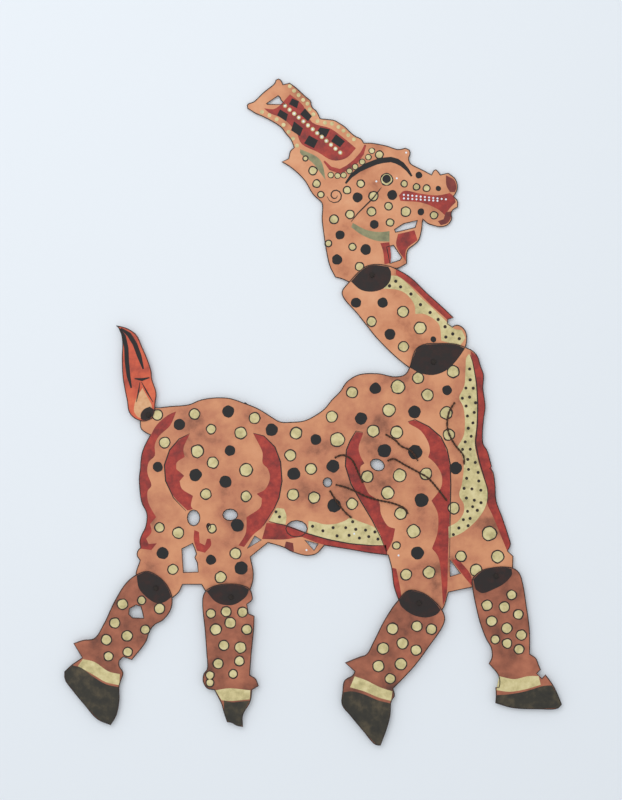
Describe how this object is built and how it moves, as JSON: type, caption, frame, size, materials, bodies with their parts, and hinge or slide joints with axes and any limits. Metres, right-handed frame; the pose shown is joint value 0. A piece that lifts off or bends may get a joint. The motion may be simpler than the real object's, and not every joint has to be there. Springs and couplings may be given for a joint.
{
  "type": "shadow puppet",
  "caption": "Flat jointed shadow puppet of a spotted deer, cut from painted translucent rawhide, its head, neck, tail and lower legs tied on with knotted thread.",
  "frame": {"origin": "on the table, under the middle of the puppet as it lies flat", "axes": "+Y up the puppet from hooves to antlers, +X towards the side it faces, +Z from the table towards the viewer"},
  "size_m": [0.597, 0.8004, 0.0104],
  "materials": {
    "painted_hide": "satin, translucent, dyed",
    "lower_leg_hide": "satin, translucent, dyed",
    "tail_hide": "satin, translucent, dyed",
    "knotted_thread": "matt",
    "lashing_twine": "matt"
  },
  "bodies": {
    "body": {"body_hide": "painted_hide", "neck_tie": "knotted_thread", "tail_tie": "knotted_thread", "hind_far_knee_tie": "knotted_thread", "hind_near_knee_tie": "knotted_thread", "front_near_knee_tie": "knotted_thread", "front_far_knee_tie": "knotted_thread", "lashing_twine_1": "lashing_twine", "lashing_twine_2": "lashing_twine", "lashing_twine_3": "lashing_twine", "lashing_twine_4": "lashing_twine", "lashing_twine_5": "lashing_twine", "lashing_twine_6": "lashing_twine"},
    "neck": {"neck_hide": "painted_hide", "head_tie": "knotted_thread"},
    "head": {"head_hide": "painted_hide"},
    "tail": {"tail_hide": "tail_hide"},
    "hind_far_leg": {"hind_far_lower_leg": "lower_leg_hide"},
    "hind_near_leg": {"hind_near_lower_leg": "lower_leg_hide"},
    "front_near_leg": {"front_near_lower_leg": "lower_leg_hide"},
    "front_far_leg": {"front_far_lower_leg": "lower_leg_hide"}
  },
  "joints": [
    {"name": "neck_swing", "type": "hinge", "parent": "body", "child": "neck", "pos_m": [0.14449, 0.05964, 0.0045], "axis": [0, 0, 1], "range_deg": [-25, 25]},
    {"name": "head_nod", "type": "hinge", "parent": "neck", "child": "head", "pos_m": [0.07069, 0.16404, 0.0034], "axis": [0, 0, 1], "range_deg": [-30, 30]},
    {"name": "tail_swing", "type": "hinge", "parent": "body", "child": "tail", "pos_m": [-0.19751, -0.00396, 0.0057], "axis": [0, 0, 1], "range_deg": [-40, 40]},
    {"name": "hind_far_knee", "type": "hinge", "parent": "body", "child": "hind_far_leg", "pos_m": [-0.18851, -0.21156, 0.0057], "axis": [0, 0, 1], "range_deg": [-40, 40]},
    {"name": "hind_near_knee", "type": "hinge", "parent": "body", "child": "hind_near_leg", "pos_m": [-0.09851, -0.22236, 0.0063], "axis": [0, 0, 1], "range_deg": [-40, 40]},
    {"name": "front_near_knee", "type": "hinge", "parent": "body", "child": "front_near_leg", "pos_m": [0.12709, -0.22956, 0.0063], "axis": [0, 0, 1], "range_deg": [-40, 40]},
    {"name": "front_far_knee", "type": "hinge", "parent": "body", "child": "front_far_leg", "pos_m": [0.21949, -0.19716, 0.0057], "axis": [0, 0, 1], "range_deg": [-40, 40]}
  ]
}
